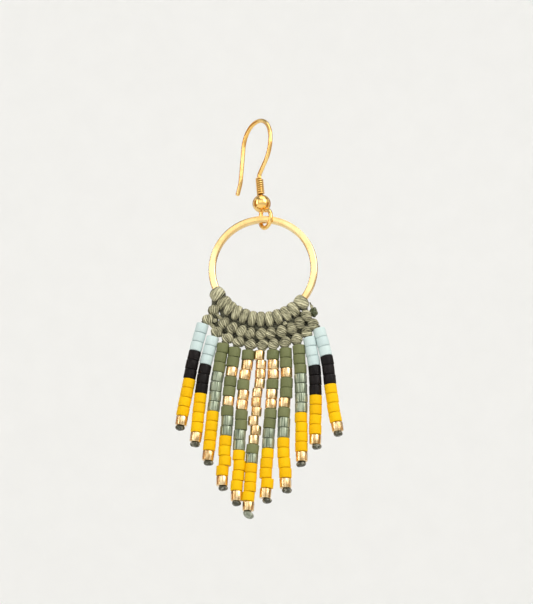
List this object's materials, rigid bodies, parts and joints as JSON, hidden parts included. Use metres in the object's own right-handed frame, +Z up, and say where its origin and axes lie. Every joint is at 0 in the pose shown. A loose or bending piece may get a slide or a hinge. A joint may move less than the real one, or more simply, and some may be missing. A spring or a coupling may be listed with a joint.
{
  "type": "drop earring",
  "caption": "Drop earring: wire ear hook with coil and ball, square-wire ring, knotted cord panel and a pointed fringe of cylinder-bead strings.",
  "frame": {"origin": "inner top of the hook's arch, on the wire's underside, where the earring sits in the ear", "axes": "+Z up, the earring hanging straight down from the hook; the hook lies in the YZ plane with its bottom loop towards -Y and its tail towards +Y; the ring, knots and fringe hang as they do in the picture, turned 38 degrees about Z in the loop"},
  "size_m": [0.0185, 0.0156, 0.0569],
  "materials": {
    "hook_gold": "polished, saturated yellow gold plate",
    "ring_gold": "polished, pale cream-gold plate",
    "cord": "waxed three-ply twisted cord, sage green",
    "melted_cord": "melted and hardened cord end, satin",
    "bead_yellow": "opaque matte",
    "bead_mint": "opaque matte",
    "bead_black": "opaque matte",
    "bead_olive": "opaque matte",
    "bead_silver_green": "metallic lustre, slightly mottled",
    "bead_gold": "glossy galvanised gold"
  },
  "bodies": {
    "hook": {"ear_hook": "hook_gold", "hook_coil": "hook_gold", "hook_ball": "hook_gold"},
    "drop": {"ring": "ring_gold", "mounting_knots": "cord", "hitch_row_upper": "cord", "hitch_row_lower": "cord", "carrier_end": "melted_cord", "strand_01": "bead_mint", "strand_02": "bead_mint", "strand_03": "bead_olive", "strand_04": "bead_yellow", "strand_05": "bead_yellow", "strand_06": "bead_gold", "strand_07": "bead_yellow", "strand_08": "bead_yellow", "strand_09": "bead_olive", "strand_10": "bead_mint", "strand_11": "bead_mint", "end_knot_01": "melted_cord", "end_knot_02": "melted_cord", "end_knot_03": "melted_cord", "end_knot_04": "melted_cord", "end_knot_05": "melted_cord", "end_knot_06": "melted_cord", "end_knot_07": "melted_cord", "end_knot_08": "melted_cord", "end_knot_09": "melted_cord", "end_knot_10": "melted_cord", "end_knot_11": "melted_cord"}
  },
  "joints": [
    {"name": "drop_swing", "type": "hinge", "parent": "hook", "child": "drop", "pos_m": [0, -0.0032, -0.01441], "axis": [1, 0, 0], "range_deg": [-90, 90]}
  ]
}
